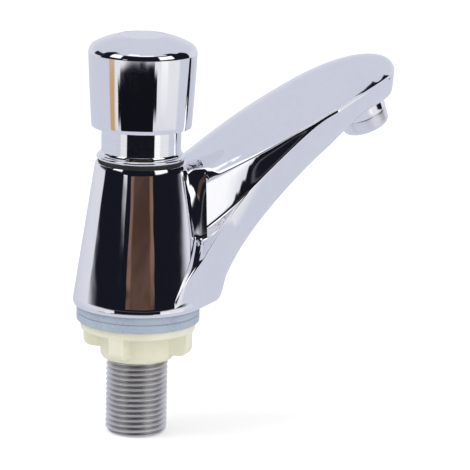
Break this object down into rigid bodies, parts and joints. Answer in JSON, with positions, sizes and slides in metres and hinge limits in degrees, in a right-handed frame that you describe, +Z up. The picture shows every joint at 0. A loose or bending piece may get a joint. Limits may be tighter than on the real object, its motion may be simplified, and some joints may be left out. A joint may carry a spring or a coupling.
{
  "type": "push timed tap",
  "caption": "Chrome deck tap with a flared push button on a neck, a tapered body, a raised hooded spout with an aerator, and a threaded inlet shank clamped by a winged nut.",
  "frame": {"origin": "on the shank axis at the deck surface, which is the underside of the deck gasket", "axes": "+Z up along the shank and the button, +X along the spout, +Y to the left of the spout"},
  "size_m": [0.1195, 0.0444, 0.1368],
  "materials": {
    "chrome_casting": "polished chrome plate on a casting",
    "chrome_turned": "polished chrome plate",
    "disc": "plain bright disc",
    "seal_rubber": "matt black",
    "steel": "plain stainless",
    "brass": "turned",
    "piston_plastic": "moulded acetal",
    "insert_plastic": "moulded",
    "nickel_shank": "nickel plated, rolled thread",
    "clear_gasket": "translucent blue-grey",
    "nut_plastic": "moulded cream nylon"
  },
  "bodies": {
    "tap_body": {"body_casting": "chrome_casting", "collar_seal": "seal_rubber", "bonnet": "chrome_turned", "bonnet_oring": "seal_rubber", "stem_oring": "seal_rubber", "return_spring": "steel", "cartridge_sleeve": "brass", "valve_seat": "brass", "seat_oring": "seal_rubber", "inlet_shank": "nickel_shank", "inlet_strainer": "steel", "deck_gasket": "clear_gasket", "aerator_ring": "chrome_turned", "aerator_insert": "insert_plastic", "aerator_screen": "steel", "aerator_gasket": "seal_rubber"},
    "plunger": {"push_button": "chrome_turned", "index_disc": "disc", "cap_screw": "steel", "push_stem": "brass", "piston": "piston_plastic", "piston_clip": "steel", "lip_seal": "seal_rubber", "valve_washer": "seal_rubber", "washer_cup": "brass", "stem_nut": "steel"},
    "deck_washer": {"clamp_washer": "clear_gasket"},
    "back_nut": {"wing_nut": "nut_plastic"}
  },
  "joints": [
    {"name": "button_press", "type": "slide", "parent": "tap_body", "child": "plunger", "axis": [0, 0, -1], "range_m": [0, 0.007], "stiffness_N_per_m": 800, "springref_m": -0.02, "deforming": ["return_spring"]},
    {"name": "washer_drop", "type": "slide", "parent": "tap_body", "child": "deck_washer", "axis": [0, 0, -1], "range_m": [0, 0.0236]},
    {"name": "nut_turn", "type": "hinge", "parent": "deck_washer", "child": "back_nut", "pos_m": [0, 0, 0], "axis": [0, 0, -1], "range_deg": [0, 4680]}
  ],
  "couplings": [
    {"joint": "washer_drop", "follows": "nut_turn", "m_per_rad": 0.00028871}
  ]
}
